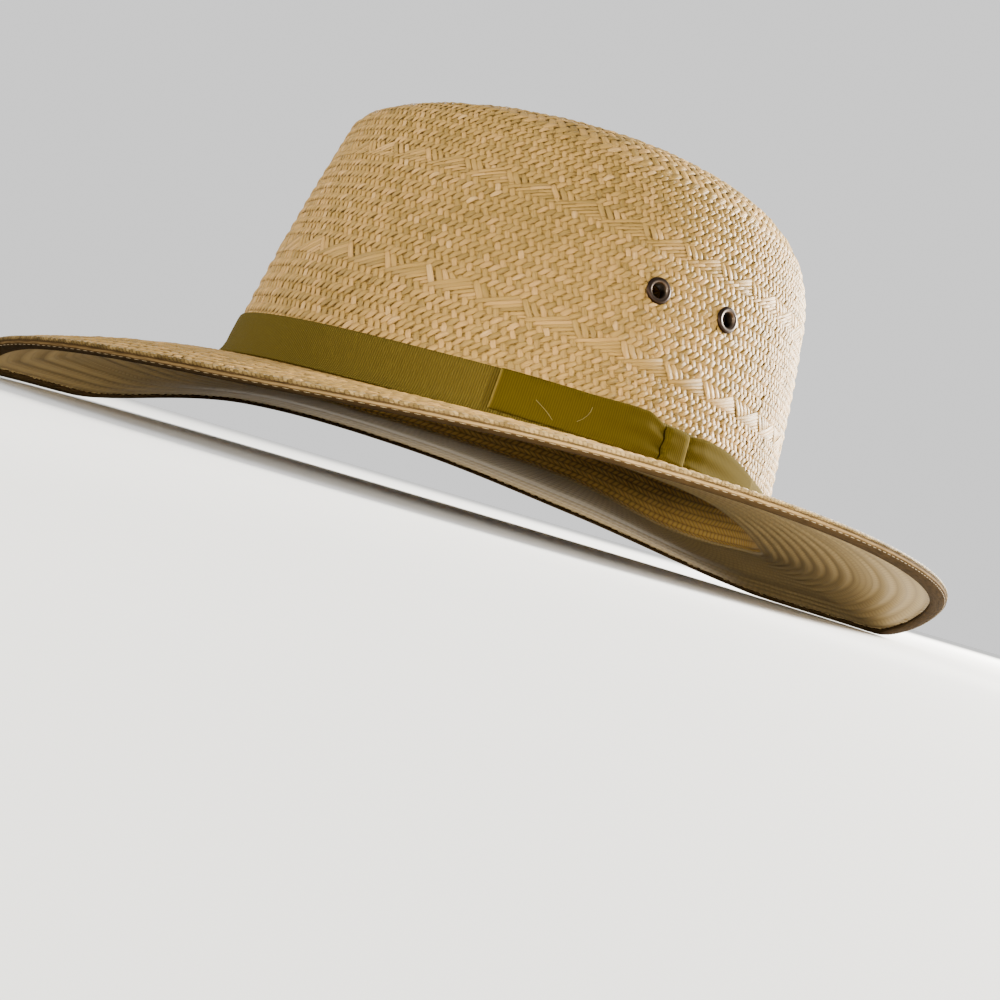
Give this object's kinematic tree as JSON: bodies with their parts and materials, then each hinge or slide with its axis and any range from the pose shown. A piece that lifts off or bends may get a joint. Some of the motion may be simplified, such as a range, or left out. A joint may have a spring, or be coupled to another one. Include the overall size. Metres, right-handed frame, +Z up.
{
  "type": "straw fedora hat",
  "caption": "Woven straw hat with a low flat-topped crown, a gently drooping brim, a ribbon band with a flat side bow and vent eyelets.",
  "frame": {"origin": "on the surface the hat stands on, under the middle of its outline", "axes": "+Z up through the crown, +Y to the back of the wearer's head, +X to the wearer's left, the side of the bow"},
  "size_m": [0.3178, 0.3346, 0.1297],
  "materials": {
    "straw": "woven natural straw, golden beige, slightly glossy strands",
    "hem_straw": "folded and stitched straw edge, duller and browner than the top",
    "ribbon": "fine grosgrain ribbon, olive green, soft sheen",
    "eyelet_metal": "antiqued dark brass, rolled and polished by wear"
  },
  "bodies": {
    "root": {"crown": "straw", "brim": "straw", "brim_hem": "hem_straw", "ribbon_band": "ribbon", "bow_left_wing": "ribbon", "bow_right_wing": "ribbon", "bow_knot": "ribbon", "eyelet_left_front": "eyelet_metal", "eyelet_left_rear": "eyelet_metal", "eyelet_right_front": "eyelet_metal", "eyelet_right_rear": "eyelet_metal"}
  },
  "joints": []
}
